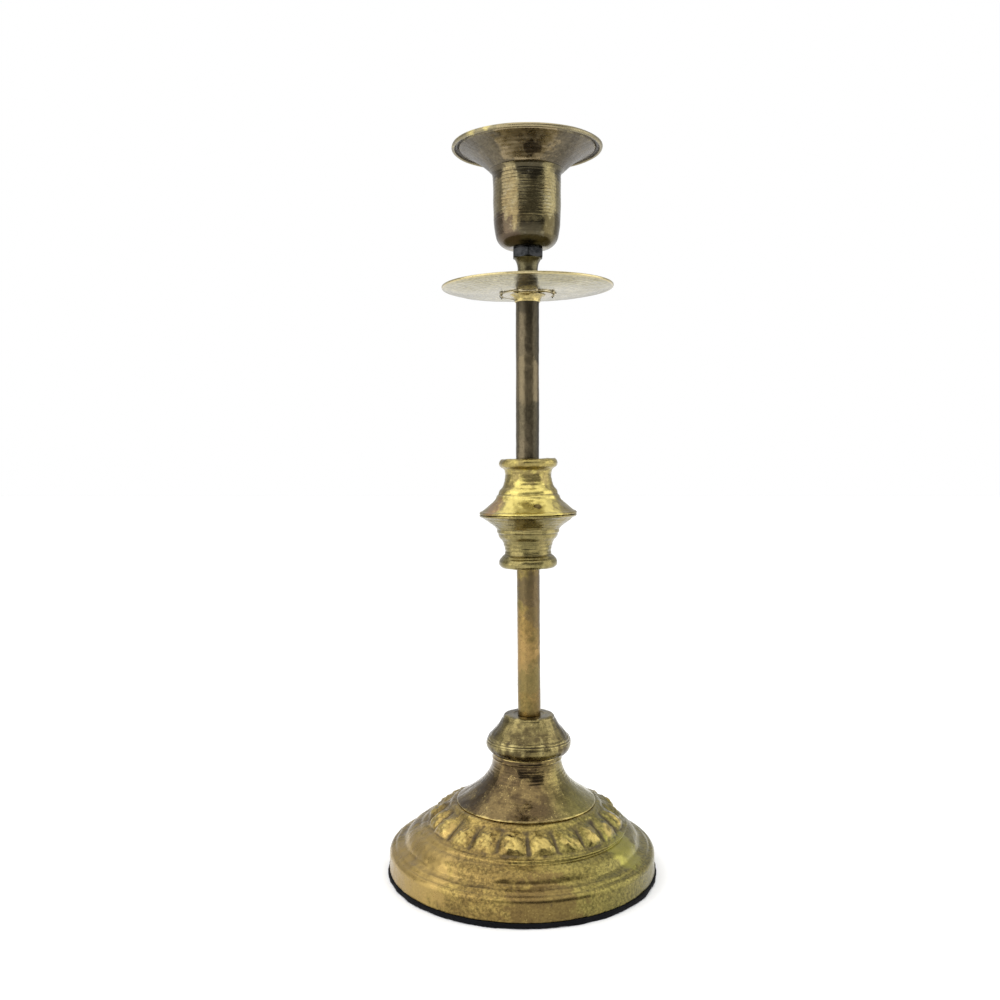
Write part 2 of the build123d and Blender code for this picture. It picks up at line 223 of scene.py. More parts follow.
# ---------------------------------------------------------------- materials
class Nodes:
    """Short names for building one material's node tree."""

    def __init__(self, name):
        self.material = bpy.data.materials.new(name)
        self.material.use_nodes = True
        self.tree = self.material.node_tree
        self.shader = self.tree.nodes["Principled BSDF"]
        self.place = self.tree.nodes.new("ShaderNodeTexCoord").outputs["Object"]

    def node(self, kind, **settings):
        made = self.tree.nodes.new(kind)
        for key, value in settings.items():
            setattr(made, key, value)
        return made

    def join(self, source, socket):
        if isinstance(source, (int, float)):
            socket.default_value = source
        elif isinstance(source, tuple):
            socket.default_value = (*source, 1.0)
        else:
            self.tree.links.new(source, socket)

    def math(self, what, a, b=0.0, c=0.0, clamp=False):
        made = self.node("ShaderNodeMath", operation=what, use_clamp=clamp)
        for source, socket in zip((a, b, c), made.inputs):
            self.join(source, socket)
        return made.outputs[0]

    def ramp(self, value, low, high, to_low=0.0, to_high=1.0):
        made = self.node("ShaderNodeMapRange", interpolation_type="SMOOTHSTEP")
        for source, socket in zip((value, low, high, to_low, to_high), made.inputs):
            self.join(source, socket)
        return made.outputs[0]

    def mix(self, share, a, b, blend="MIX"):
        made = self.node("ShaderNodeMix", data_type="RGBA", blend_type=blend)
        self.join(share, made.inputs["Factor"])
        self.join(a, made.inputs[6])
        self.join(b, made.inputs[7])
        return made.outputs[2]

    def noise(self, size_mm, detail=4.0, rough=0.55, stretch=(1, 1, 1), shift=0.0):
        """Noise with features of a size; stretch above 1 squeezes them along that axis."""
        place = self.node("ShaderNodeMapping", vector_type="POINT")
        place.inputs["Scale"].default_value = stretch
        place.inputs["Location"].default_value = (shift, 0.3 * shift, 0.7 * shift)
        self.tree.links.new(self.place, place.inputs["Vector"])
        made = self.node("ShaderNodeTexNoise")
        made.inputs["Scale"].default_value = 1 / (size_mm * MM)
        made.inputs["Detail"].default_value = detail
        made.inputs["Roughness"].default_value = rough
        self.tree.links.new(place.outputs[0], made.inputs["Vector"])
        return made.outputs["Fac"]

    def patch(self, centre, radius_mm, ragged):
        """1 inside a blot round a place on the object, with an edge broken up by noise."""
        away = self.node("ShaderNodeVectorMath", operation="DISTANCE")
        self.tree.links.new(self.place, away.inputs[0])
        away.inputs[1].default_value = centre
        near = self.math("DIVIDE", away.outputs["Value"], radius_mm * MM)
        torn = self.math("MULTIPLY_ADD", ragged, 1.6, -0.8)
        return self.ramp(self.math("ADD", near, torn), 1.05, 0.75)

    def bump(self, height, size_mm, strength, under=None):
        made = self.node("ShaderNodeBump")
        made.inputs["Strength"].default_value = strength
        made.inputs["Distance"].default_value = size_mm * MM
        self.tree.links.new(height, made.inputs["Height"])
        if under:
            self.tree.links.new(under, made.inputs["Normal"])
        return made.outputs[0]


def brass(name, body, cloud, rub, dark, wear=0.5, dirt=0.5, speckle=0.5, lines=0.5,
          rough=(0.3, 0.5), patches=(), cloud_mm=14.0, seed=0.0, side=None, grain=0.3):
    """Aged brass: a clouded patina, rubbed on raised edges, dark in hollows, faintly lined.

    patches is a list of (centre, radius_mm, colour, strength). side is (colour, share, from, to):
    a tone that comes in towards +X, between those two places.
    """
    n = Nodes(name)
    big = n.noise(cloud_mm, 3.0, shift=seed)
    mid = n.noise(3.2, 5.0, 0.6, shift=seed + 1)
    fine = n.noise(0.55, 4.0, 0.65, shift=seed + 2)
    turned = n.noise(5.0, 4.0, 0.7, (0.35, 0.35, 16), shift=seed + 3)
    relief = n.node("ShaderNodeAttribute", attribute_name="relief").outputs["Fac"]

    colour = n.mix(n.ramp(n.math("ADD", big, n.math("MULTIPLY_ADD", mid, 0.6, -0.3)), 0.38, 0.62),
                   body, cloud)
    if side:
        x = n.node("ShaderNodeSeparateXYZ")
        n.tree.links.new(n.place, x.inputs[0])
        spread = side[3] - side[2]
        over = n.math("MULTIPLY_ADD", big, 0.8 * spread, -0.4 * spread)
        share = n.ramp(n.math("ADD", x.outputs[0], over), side[2], side[3], 0.0, side[1])
        colour = n.mix(share, colour, side[0])
    pits = n.ramp(n.noise(0.9, 6.0, 0.75, shift=seed + 6), 0.3, 0.7, 1.0 - grain, 1.0 + 0.8 * grain)
    lined = n.ramp(turned, 0.35, 0.7, 1.0 - 0.35 * lines, 1.0 + 0.25 * lines)
    lined = n.math("MULTIPLY", lined, pits)
    grey = n.node("ShaderNodeCombineColor")
    for socket in grey.inputs[:3]:
        n.tree.links.new(lined, socket)
    colour = n.mix(1.0, colour, grey.outputs[0], "MULTIPLY")

    for centre, radius, tone, strength in patches:
        colour = n.mix(n.math("MULTIPLY", n.patch(centre, radius, mid), strength), colour, tone)

    flecks = n.ramp(fine, 0.56, 0.74)
    ragged = n.math("MULTIPLY_ADD", mid, 1.6, -0.8)
    edge = n.ramp(n.math("ADD", relief, ragged), 0.15, 0.95)
    worn = n.math("MULTIPLY", edge, wear, clamp=True)
    worn = n.math("MAXIMUM", worn, n.math("MULTIPLY", n.math("MULTIPLY", flecks, speckle),
                                          n.ramp(mid, 0.42, 0.6)))
    colour = n.mix(worn, colour, rub)
    # Darkening in hollows: grime, and on the rosette's edge also painted shadow.
    low = n.ramp(n.math("ADD", relief, n.math("MULTIPLY", ragged, 0.6)), -0.1, -0.9)
    grime_and_shade_share = n.math("MULTIPLY", low, dirt, clamp=True)
    spots = n.math("MULTIPLY", n.ramp(n.noise(1.6, 5.0, 0.7, shift=seed + 5), 0.62, 0.72), dirt * 0.8)
    grime_and_shade_share = n.math("MAXIMUM", grime_and_shade_share, spots)
    colour = n.mix(grime_and_shade_share, colour, dark)
    n.join(colour, n.shader.inputs["Base Color"])

    gloss = n.ramp(n.math("ADD", mid, n.math("MULTIPLY", grime_and_shade_share, 0.5)), 0.35, 0.8, *rough)
    n.join(gloss, n.shader.inputs["Roughness"])
    n.join(n.math("MULTIPLY_ADD", grime_and_shade_share, -0.35, 1.0), n.shader.inputs["Metallic"])
    n.shader.inputs["Coat Weight"].default_value = 0.12
    n.shader.inputs["Coat Roughness"].default_value = 0.3
    grained = n.bump(fine, 0.05, 0.35)
    rings = n.bump(turned, 0.06, 0.5 * lines, grained)
    n.join(n.bump(mid, 0.12, 0.35, rings), n.shader.inputs["Normal"])
    return n.material


def steel(name, light, shade, rough=(0.35, 0.55), seed=0.0):
    """Plain or blackened steel with brushed streaks and dull spots."""
    n = Nodes(name)
    mid = n.noise(2.5, 5.0, 0.6, shift=seed)
    fine = n.noise(0.4, 3.0, 0.6, (1, 1, 6), shift=seed + 1)
    streaks = n.math("ADD", n.math("MULTIPLY", mid, 0.7), n.math("MULTIPLY", fine, 0.3))
    n.join(n.mix(n.ramp(streaks, 0.38, 0.62), shade, light), n.shader.inputs["Base Color"])
    n.join(n.ramp(mid, 0.3, 0.7, *rough), n.shader.inputs["Roughness"])
    n.shader.inputs["Metallic"].default_value = 0.9
    n.join(n.bump(fine, 0.04, 0.3, n.bump(mid, 0.08, 0.3)), n.shader.inputs["Normal"])
    return n.material


def felt():
    """Dense felt: matted fibres, faint sheen, lint here and there."""
    n = Nodes("felt")
    matted = n.noise(0.35, 6.0, 0.75)
    cloud = n.noise(6.0, 3.0)
    tone = n.mix(n.ramp(matted, 0.3, 0.72), (0.0015, 0.0015, 0.002), (0.006, 0.006, 0.008))
    tone = n.mix(n.ramp(cloud, 0.45, 0.7, 0.0, 0.35), tone, (0.008, 0.009, 0.012))
    n.join(tone, n.shader.inputs["Base Color"])
    n.join(n.ramp(matted, 0.3, 0.7, 0.85, 1.0), n.shader.inputs["Roughness"])
    n.shader.inputs["Sheen Weight"].default_value = 0.04
    n.shader.inputs["Sheen Roughness"].default_value = 0.5
    n.shader.inputs["Specular IOR Level"].default_value = 0.1
    n.join(n.bump(matted, 0.25, 0.8), n.shader.inputs["Normal"])
    return n.material


def dress(piece, material):
    piece.data.materials.clear()
    piece.data.materials.append(material)


# ---------------------------------------------------------------- base
def base_felt():
    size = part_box("felt_pad")[1] / MM
    r, h = size.y, size.z
    outline = [(0, 0), (r - 0.35, 0)]
    outline += arc((r - 0.35, 0), (r, h / 2), (r - 0.25, h))
    outline += [(r - 1.5, h), (0, h)]

    def cut_edge(th, rr, z, x, y):
        near = band(rr, r - 0.8, r + 1, 0.6)
        return near * (0.12 * lumps(x, y, z, 9.0, 1) + 0.05 * lumps(x, y, z, 1.6, 2) - 0.1)

    piece = lathe("felt", "felt_pad", STAND, outline, 420, cut_edge, 0.35, closed=False)
    dress(piece, felt())


def base_shell():
    """Skirt, thin beads, quarter-round, ledge, gadroons and the flat under the cone."""
    wall = 0.8
    low, top = (34.0, 15.8), (25.6, 22.6)
    off_centre = 1.3
    outline = [(46.3, 0), (46.2, 5.4)]
    outline += arc((46.2, 5.4), (45.9, 6.9), (45.1, 7.7))
    outline += [(44.6, 7.75), (44.2, 7.95), (43.7, 8.6), (43.2, 8.8), (42.6, 8.85), (41.5, 9.2),
                (40.95, 9.5), (40.7, 10.0)]
    outline += arc((40.7, 10.0), (39.0, 12.5), (36.0, 14.0))
    outline += [(35.7, 14.3), (35.8, 14.8), (35.4, 15.2), (34.6, 15.25), low]
    outline += [top, (25.3, 22.75), (24.9, 22.8), (3.2, 22.8)]
    outline += [(3.2, 22.8 - wall), (24.6, 22.0), (33.0, 15.2), (34.0, 14.2), (34.9, 13.4)]
    outline += arc((34.9, 13.4), (38.2, 11.9), (39.9, 9.2))
    outline += [(40.4, 8.7), (43.9, 7.2), (45.3, 5.4), (45.5, 0)]
    run = math.hypot(low[0] - top[0], low[1] - top[1])
    rng = np.random.default_rng(11)
    rise = rng.uniform(0.85, 1.15, LOBES)
    wide = rng.uniform(0.92, 1.05, LOBES)
    shift = rng.uniform(-0.07, 0.07, LOBES)
    swing = rng.uniform(-0.14, 0.14, LOBES)
    belly = rng.uniform(0.58, 0.74, LOBES)

    def embossed(th, r, z, x, y):
        down = 1 - ((low[0] - r) * (low[0] - top[0]) + (z - low[1]) * (top[1] - low[1])) / run ** 2
        above = ((r - low[0]) * (top[1] - low[1]) + (z - low[1]) * (low[0] - top[0])) / run
        on_band = (np.abs(above) < 0.5) * (down > -0.06) * (down < 1.06)
        turn = (th / (2 * math.pi) * LOBES - LOBE_PHASE) % LOBES
        near = np.round(turn).astype(int) % LOBES
        across = turn - np.round(turn) + shift[near] * 0.6 + swing[near] * (down - 0.5)
        t = np.clip(down, 0, 1)
        peak = belly[near]
        rising = np.clip((t - 0.04) / (peak - 0.04), 0, 1)
        falling = np.clip(1 - ((t - peak) / (0.97 - peak)) ** 2, 0, 1)
        length = np.where(t < peak, np.sin(0.5 * math.pi * rising) ** 1.35, np.sqrt(falling))
        tongue = (0.8 + 0.2 * length) * 0.52 * wide[near]
        puff = np.cos(0.5 * math.pi * np.clip(np.abs(across) / tongue, 0, 1)) ** 0.85
        lobe = length * puff * rise[near]
        chased = 0.14 * lumps(x, y, z, 4.0, 21) + 0.10 * lumps(x, y, z, 1.7, 22)
        lobes = on_band * (1.6 * lobe - 0.35 * band(down, 0.1, 0.97, 0.15) + chased * (0.3 + lobe))
        rough = 0.09 * lumps(x, y, z, 11.0, 23) + 0.03 * lumps(x, y, z, 3.0, 24)
        return lobes + rough * (r > 24.0) * (z > 1.5) * (1 - 0.7 * band(z, 0, 8, 1.5))

    piece = lathe("base_shell_chased", "base_shell", STAND, outline, 588, embossed, 0.36, rounding=2,
                  worn=0.62, drift=lambda z: off_centre * band(z, 14.6, 99, 1.8), passes=70)
    z0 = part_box("base_shell")[0].z
    dress(piece, brass(
        "brass_base", body=(0.185, 0.125, 0.038), cloud=(0.32, 0.228, 0.066),
        rub=(0.48, 0.365, 0.115), dark=(0.04, 0.026, 0.012),
        wear=0.65, dirt=0.85, speckle=1.0, lines=0.25, rough=(0.26, 0.46), cloud_mm=20.0, seed=3.1,
        side=((0.175, 0.155, 0.042), 0.85, -0.012, 0.03), grain=0.6,
        # The first patch, lighter gold on the left-front of the skirt and dome, is painted light from the
        # left.
        patches=[((-0.036, -0.022, z0 + 0.005), 20, (0.40, 0.275, 0.09), 0.75),
                 ((0.006, -0.046, z0 + 0.003), 13, (0.13, 0.082, 0.03), 0.6),
                 # Painted highlight: the bright yellow-green patch on the right of the gadroons.
                 ((0.034, -0.019, z0 + 0.013), 8, (0.36, 0.33, 0.07), 0.7),
                 ((0.030, -0.016, z0 + 0.019), 4, (0.05, 0.05, 0.02), 0.8)]))


def base_cone():
    outline = [(24.2, 0), (24.25, 0.35), (24.1, 0.65)]
    outline += curve([(24.1, 0.65), (21.6, 2.2), (18.65, 4.3), (15.9, 6.75), (13.9, 9.2), (12.6, 11.7),
                      (12.05, 14.0), (12.0, 14.9)])
    outline += [(12.15, 15.0), (12.2, 15.5), (12.0, 15.6), (12.0, 16.9), (3.2, 16.9), (3.2, 16.0),
                (11.1, 16.0), (11.1, 14.6)]
    outline += curve([(11.1, 14.6), (13.1, 8.6), (18.0, 3.6), (22.7, 0.0)])

    def turned(th, r, z, x, y):
        shown = band(r, 11.8, 26, 0.2)
        rings = 0.022 * np.sin(2 * math.pi * z / 1.05) * band(z, 8.4, 13.4, 1.2)
        rings = rings * (1 + 0.8 * lumps(x, y, 2 * z, 6.0, 33))
        rings += 0.008 * np.sin(2 * math.pi * z / 0.8) * band(z, 3, 9, 1)
        dents = 0.07 * lumps(x, y, z, 8.0, 31) + 0.02 * lumps(x, y, z, 2.5, 32)
        return shown * (rings + dents)

    piece = lathe("base_cone_turned", "base_cone", STAND, outline, 300, turned, 0.24, lean=(-0.4, 0.0))
    dress(piece, brass(
        "brass_cone", (0.075, 0.05, 0.022), (0.16, 0.112, 0.045), (0.58, 0.45, 0.17), (0.026, 0.017, 0.009),
        wear=0.6, dirt=0.7, speckle=0.95, lines=0.35, rough=(0.16, 0.34), cloud_mm=12.0, seed=7.7,
        # The side tone, lighter olive towards +X, is the cone's olive patina with painted light on its
        # right side.
        side=((0.25, 0.22, 0.062), 0.85, 0.004, 0.022)))


def base_knob():
    outline = [(11.6, 0)]
    outline += arc((11.6, 0), (14.8, 3.1), (13.5, 6.2))
    outline += curve([(13.5, 6.2), (12.1, 8.0), (10.6, 9.9), (9.7, 11.4), (9.0, 12.5)], 6)
    outline += arc((9.0, 12.5), (8.7, 13.15), (8.0, 13.5), 6)
    outline += [(5.6, 13.45), (5.2, 13.2), (4.03, 13.2), (4.03, 13.0), (3.2, 13.0), (3.2, 10.7),
                (7.0, 10.7), (12.2, 5.3)]
    outline += arc((12.2, 5.3), (12.9, 3.1), (10.6, 0))

    def cast(th, r, z, x, y):
        shown = band(r, 7.5, 20, 0.5) * band(z, 0.3, 20, 0.4)
        grooves = -0.22 * band(z, 5.05, 5.35, 0.3) - 0.14 * band(z, 4.35, 4.55, 0.25)
        grooves += -0.10 * band(z, 6.1, 6.3, 0.25)
        lumpy = 0.07 * lumps(x, y, z, 7.0, 41) + 0.05 * lumps(x, y, 0.4 * z, 3.0, 42)
        return shown * (grooves + lumpy)

    piece = lathe("base_knob_turned", "base_knob", STAND, outline, 240, cast, 0.22, lean=(0.5, 0.6))
    dress(piece, brass(
        "brass_knob", (0.085, 0.064, 0.026), (0.20, 0.16, 0.062), (0.55, 0.46, 0.20), (0.04, 0.028, 0.014),
        wear=0.7, dirt=0.75, speckle=0.6, lines=0.7, rough=(0.2, 0.38), cloud_mm=9.0, seed=1.3))


# ---------------------------------------------------------------- column
def tube(name, node, slot, tones, seed, lean):
    low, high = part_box(node)
    radius, length = high.y / MM, (high.z - low.z) / MM
    outline = [(radius - 0.12, 0), (radius, 0.12), (radius, length - 0.12), (radius - 0.12, length),
               (3.3, length), (3.2, length - 0.1), (3.2, 0.1), (3.3, 0)]

    def dinged(th, r, z, x, y):
        dents = 0.035 * lumps(x, y, 0.3 * z, 6.0, seed) + 0.02 * lumps(x, y, z, 2.0, seed + 1)
        return (r > 3.6) * (dents - 0.02)

    piece = lathe(name, node, STAND, outline, 112, dinged, 0.5, rounding=1, lean=lean)
    dress(piece, brass(f"{slot}_finish", seed=0.1 * seed, **tones((low.x + high.x) / 2, low.z, high.z)))


def low_tube_tones(x, low, high):
    return dict(
        body=(0.25, 0.165, 0.052), cloud=(0.18, 0.135, 0.042), rub=(0.40, 0.28, 0.11),
        dark=(0.06, 0.04, 0.02),
        wear=0.4, dirt=0.6, speckle=0.3, lines=0.1, rough=(0.26, 0.42), cloud_mm=13.0,
        # The side tone, darker towards +X, is painted shade on the tube's right side.
        side=((0.13, 0.09, 0.032), 0.75, x, x + 0.004),
        patches=[((x + 0.002, -0.004, high - 0.008), 7, (0.09, 0.065, 0.035), 0.75),
                 ((x + 0.0035, -0.002, high - 0.017), 5, (0.11, 0.08, 0.04), 0.6),
                 ((x, -0.004, low + 0.014), 6, (0.17, 0.135, 0.05), 0.6),
                 ((x - 0.003, 0.002, high - 0.03), 9, (0.36, 0.23, 0.085), 0.5)])


def high_tube_tones(x, low, high):
    return dict(
        body=(0.10, 0.082, 0.048), cloud=(0.135, 0.108, 0.065), rub=(0.26, 0.21, 0.12),
        dark=(0.028, 0.024, 0.017),
        wear=0.3, dirt=0.55, speckle=0.3, lines=0.1, rough=(0.3, 0.45), cloud_mm=16.0,
        # The side tone, much darker towards +X, is painted shade on the tube's right side.
        side=((0.03, 0.026, 0.015), 0.9, x - 0.0004, x + 0.0034),
        patches=[((x - 0.002, -0.004, low + 0.028), 9, (0.19, 0.15, 0.085), 0.6),
                 ((x, -0.004, high - 0.003), 4, (0.05, 0.042, 0.028), 0.7)])


def knop_outline(end, swell, flared):
    """One half of the knop from its joint flange up to its end.

    swell is the flank's radius. The waist runs into the end's bead in a flare, or ends in a
    crease under it.
    """
    k = end / 19.1
    outline = [(16.4, 0), (16.85, 0.15), (16.9, 0.5), (16.6, 0.85), (15.8, 1.1)]
    outline += curve([(15.8, 1.1), (14.3, 2.35 * k), (swell, 3.9 * k), (swell - 1.3, 5.3 * k),
                      (10.85, 6.4 * k)], 6)
    outline += [(10.6, 6.6 * k), (10.25, 6.85 * k), (10.25, 7.5 * k), (10.0, 8.2 * k), (9.5, 8.8 * k)]
    outline += curve([(9.5, 8.8 * k), (9.0, 9.4 * k), (8.55, 10.5 * k), (8.2, 12.0 * k),
                      (7.95, 13.4 * k)], 6)
    if flared:
        outline += curve([(7.95, 13.4 * k), (8.2, end - 4.6), (9.05, end - 3.75), (9.8, end - 2.9),
                          (10.1, end - 1.9), (9.9, end - 0.8), (9.1, end)], 6)
    else:
        outline += curve([(7.95, 13.4 * k), (8.15, 15.0 * k), (8.7, end - 3.3)], 6)
        outline += [(9.1, end - 3.1)]
        outline += arc((9.1, end - 3.1), (10.1, end - 1.5), (9.1, end), 16)
    outline += [(8.2, end - 0.05), (4.03, end - 0.15), (4.03, end - 0.5), (3.2, end - 0.5),
                (3.2, end - 1.4), (7.2, end - 1.4), (7.0, 13.5 * k), (7.3, 11.1 * k),
                (9.0, 7.5 * k), (9.2, 6.5 * k), (swell - 0.9, 3.1 * k), (15.3, 0.6), (15.3, 0)]
    return outline


def knop_half(name, node, flip, swell, tones, seed):
    low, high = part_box(node)
    end = (high.z - low.z) / MM
    outline = knop_outline(end, swell, flared=flip)
    if flip:
        outline = [(r, end - z) for r, z in reversed(outline)]

    def spun(th, r, z, x, y):
        up = end - z if flip else z
        shown = band(r, 7.6, 20, 0.3)
        rings = 0.06 * np.sin(2 * math.pi * up / 1.3) * band(up, 9.5, 15.5, 1.0)
        rings += flip * 0.03 * np.sin(2 * math.pi * up / 0.9) * band(up, 1.5, 6.0, 1.0)
        dents = 0.07 * lumps(x, y, z, 7.0, seed) + 0.03 * lumps(x, y, z, 2.6, seed + 1)
        return shown * (rings * (1.0 if flip else 0.5) + dents)

    flange = (end - 1.0, end + 1) if flip else (-1, 1.0)
    piece = lathe(name, node, STAND, outline, 260, spun, 0.22, lean=(0.25, 0.25), tilt=1.0, plain=flange)
    dress(piece, brass(f"{node}_finish", seed=0.37 * seed, **tones))


def upper_knop_tones():
    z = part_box("knop_upper")[0].z
    return dict(
        body=(0.36, 0.29, 0.09), cloud=(0.25, 0.195, 0.07), rub=(0.66, 0.55, 0.20),
        dark=(0.07, 0.048, 0.022), wear=0.7, dirt=0.7, speckle=0.5, lines=0.4,
        rough=(0.27, 0.43), cloud_mm=8.0,
        patches=[((-0.0105, -0.008, z + 0.0035), 5, (0.34, 0.20, 0.10), 0.8),
                 ((0.002, -0.014, z + 0.003), 12, (0.60, 0.50, 0.15), 0.85),
                 ((0.005, -0.013, z + 0.0032), 1.3, (0.08, 0.05, 0.025), 0.8)])


def lower_knop_tones():
    return dict(
        body=(0.18, 0.15, 0.056), cloud=(0.27, 0.22, 0.085), rub=(0.46, 0.40, 0.17),
        dark=(0.08, 0.06, 0.028), wear=0.6, dirt=0.7, speckle=0.5, lines=0.5,
        rough=(0.24, 0.4), cloud_mm=8.0)


# ---------------------------------------------------------------- pan and neck
def collar():
    outline = [(4.05, 0), (4.4, 0), (4.5, 0.4), (4.55, 1.0), (4.8, 1.6), (5.4, 2.15), (6.3, 2.5),
               (3.2, 2.5), (3.2, 1.7), (4.03, 1.7)]

    def worn_edge(th, r, z, x, y):
        return (r > 4.2) * 0.07 * lumps(x, y, z, 2.6, 71)

    piece = lathe("collar_flared", "pan_collar", STAND, outline, 140, worn_edge, 0.2, lean=(-0.1, -0.1))
    dress(piece, brass(
        "collar_finish", (0.44, 0.35, 0.14), (0.34, 0.27, 0.10), (0.70, 0.58, 0.28), (0.05, 0.036, 0.02),
        wear=0.7, dirt=0.6, speckle=0.4, lines=0.2, rough=(0.22, 0.4), cloud_mm=5.0, seed=4.4))


def rosette():
    outline = [(3.2, 0), (8.6, 0), (10.0, 0.06), (10.1, 0.2), (10.0, 0.34), (8.6, 0.4), (3.2, 0.4)]
    rng = np.random.default_rng(5)
    reach = rng.uniform(0.6, 1.25, 8)

    def scalloped(th, r, z, x, y):
        turn = th / (2 * math.pi) * 8
        near = turn - np.round(turn)
        petal = np.sqrt(np.clip(1 - (near / 0.52) ** 2, 0, 1)) * reach[np.round(turn).astype(int) % 8]
        return band(r, 9.3, 12, 0.5) * (1.2 * petal - 1.35)

    piece = lathe("rosette_scalloped", "pan_rosette", STAND, outline, 320, scalloped, 0.25, rounding=1,
                  lean=(-0.1, -0.1), tilt=0.7)
    dress(piece, brass(
        "rosette_finish", body=(0.40, 0.345, 0.215), cloud=(0.34, 0.29, 0.18),
        rub=(0.50, 0.44, 0.30), dark=(0.02, 0.016, 0.012),
        # Its hollow edge, darkened almost to black, is painted shadow of the gap round its edge, with some
        # grime.
        wear=0.3, dirt=0.9, speckle=0.2, lines=0.1, rough=(0.2, 0.35), cloud_mm=5.0, seed=6.2))


def pan():
    outline = [(3.2, 0), (12.0, 0)]
    outline += curve([(12.0, 0), (17.0, 0.2), (22.0, 0.65), (26.5, 1.35), (28.8, 1.78)], 8)
    outline += [(29.2, 1.82), (29.45, 2.0), (29.5, 2.3), (29.5, 2.62), (29.3, 2.72), (28.9, 2.6),
                (28.65, 2.4)]
    outline += curve([(28.65, 2.4), (26.5, 2.05), (22.0, 1.35), (17.0, 0.9), (12.0, 0.7)], 8)
    outline += [(3.2, 0.7)]

    def spun(th, r, z, x, y):
        side = np.where(z < 0.35 + 0.0022 * (r - 3) ** 2, -1, 1)
        wave = 0.10 * lumps(x, y, 0 * z, 26.0, 81) + 0.018 * lumps(x, y, 0 * z, 5.0, 82)
        rings = 0.02 * np.sin(2 * math.pi * r / 1.7)
        return band(r, 10.5, 28.3, 2.0) * (side * wave + rings)

    piece = lathe("drip_pan_spun", "drip_pan", STAND, outline, 360, spun, 0.4, rounding=1,
                  lean=(-0.1, -0.1), tilt=0.7)
    dress(piece, brass(
        "brass_pan", (0.26, 0.225, 0.10), (0.34, 0.30, 0.17), (0.60, 0.50, 0.26), (0.14, 0.10, 0.045),
        wear=0.6, dirt=0.7, speckle=0.35, lines=0.35, rough=(0.14, 0.28), cloud_mm=12.0, seed=9.9,
        grain=0.6))


def neck():
    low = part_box("neck_spool")[0].z / MM
    nut_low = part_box("lock_nut")[0].z / MM - low
    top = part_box("neck_spool")[1].z / MM - low
    outline = [(3.0, 0), (5.4, 0), (5.4, 0.9)]
    outline += arc((5.4, 0.9), (3.9, 4.4), (3.45, 7.7))
    outline += arc((3.45, 7.7), (3.8, 9.7), (4.7, nut_low))
    outline += [(2.95, nut_low), (2.95, top - 0.5), (2.45, top), (0, top)]
    outline = [(0, 4.6), (3.0, 4.6)] + outline

    def threaded(th, r, z, x, y):
        phase = (z / THREAD_PITCH + th / (2 * math.pi)) % 1.0
        cut = -0.30 * (1 - np.abs(2 * phase - 1)) * band(z, nut_low + 0.7, top - 0.1, 0.3) * (r > 2.6)
        marks = 0.02 * lumps(x, y, z, 2.2, 91) * (z < nut_low) * (r > 3.2)
        return cut + marks

    piece = lathe("neck_turned", "neck_spool", STAND, outline, 128, threaded, 0.12, closed=False,
                  rounding=1)
    dress(piece, brass(
        "brass_neck", (0.085, 0.072, 0.035), (0.12, 0.105, 0.055), (0.40, 0.36, 0.22), (0.02, 0.018, 0.012),
        wear=0.6, dirt=0.6, speckle=0.3, lines=0.3, rough=(0.25, 0.42), cloud_mm=4.0, seed=2.9))


def nut():
    """The black lock nut: a hexagon, both ends turned off, every edge slightly broken."""
    low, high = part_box("lock_nut")
    flat, corner, tall = (high.x - low.x) / 2, high.y, high.z - low.z
    middle = (low.x + high.x) / 2
    mesh = bpy.data.meshes.new("lock_nut_black")
    piece = bpy.data.objects.new("lock_nut_black", mesh)
    around, rows = 192, []
    turned_off = 0.12 * corner
    hole = 3.0 * MM
    for h in np.linspace(0, 1, 21):
        z = low.z + h * tall
        from_end = min(h, 1 - h) * tall
        limit = corner - turned_off + from_end * math.sqrt(3)
        rows.append((z, limit))
    verts, faces = [], []

    def add_ring(z, radius_of):
        for j in range(around):
            a = 2 * math.pi * j / around
            r = radius_of(a)
            verts.append((middle + r * math.cos(a), r * math.sin(a), z))

    def hexagon(a, limit):
        to_flat = (a + math.pi / 6) % (math.pi / 3) - math.pi / 6
        r = flat / math.cos(to_flat)
        soft = 0.10 * MM
        return min(r, limit, corner - soft) - 0.3 * soft

    add_ring(low.z, lambda a: hole + 0.25 * MM)
    for z, limit in rows:
        add_ring(z, lambda a, limit=limit: hexagon(a, limit))
    add_ring(high.z, lambda a: hole + 0.25 * MM)
    add_ring(high.z - 0.25 * MM, lambda a: hole)
    add_ring(low.z + 0.25 * MM, lambda a: hole)
    count = len(verts) // around
    for i in range(count):
        a, b = i * around, (i + 1) % count * around
        for j in range(around):
            k = (j + 1) % around
            faces.append((a + j, a + k, b + k, b + j))
    mesh.from_pydata(verts, [], faces)
    bpy.context.scene.collection.objects.link(piece)
    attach(piece, STAND)
    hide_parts("lock_nut")
    dress(piece, steel("nut_finish", (0.052, 0.053, 0.054), (0.011, 0.012, 0.013), (0.25, 0.42), seed=3.3))


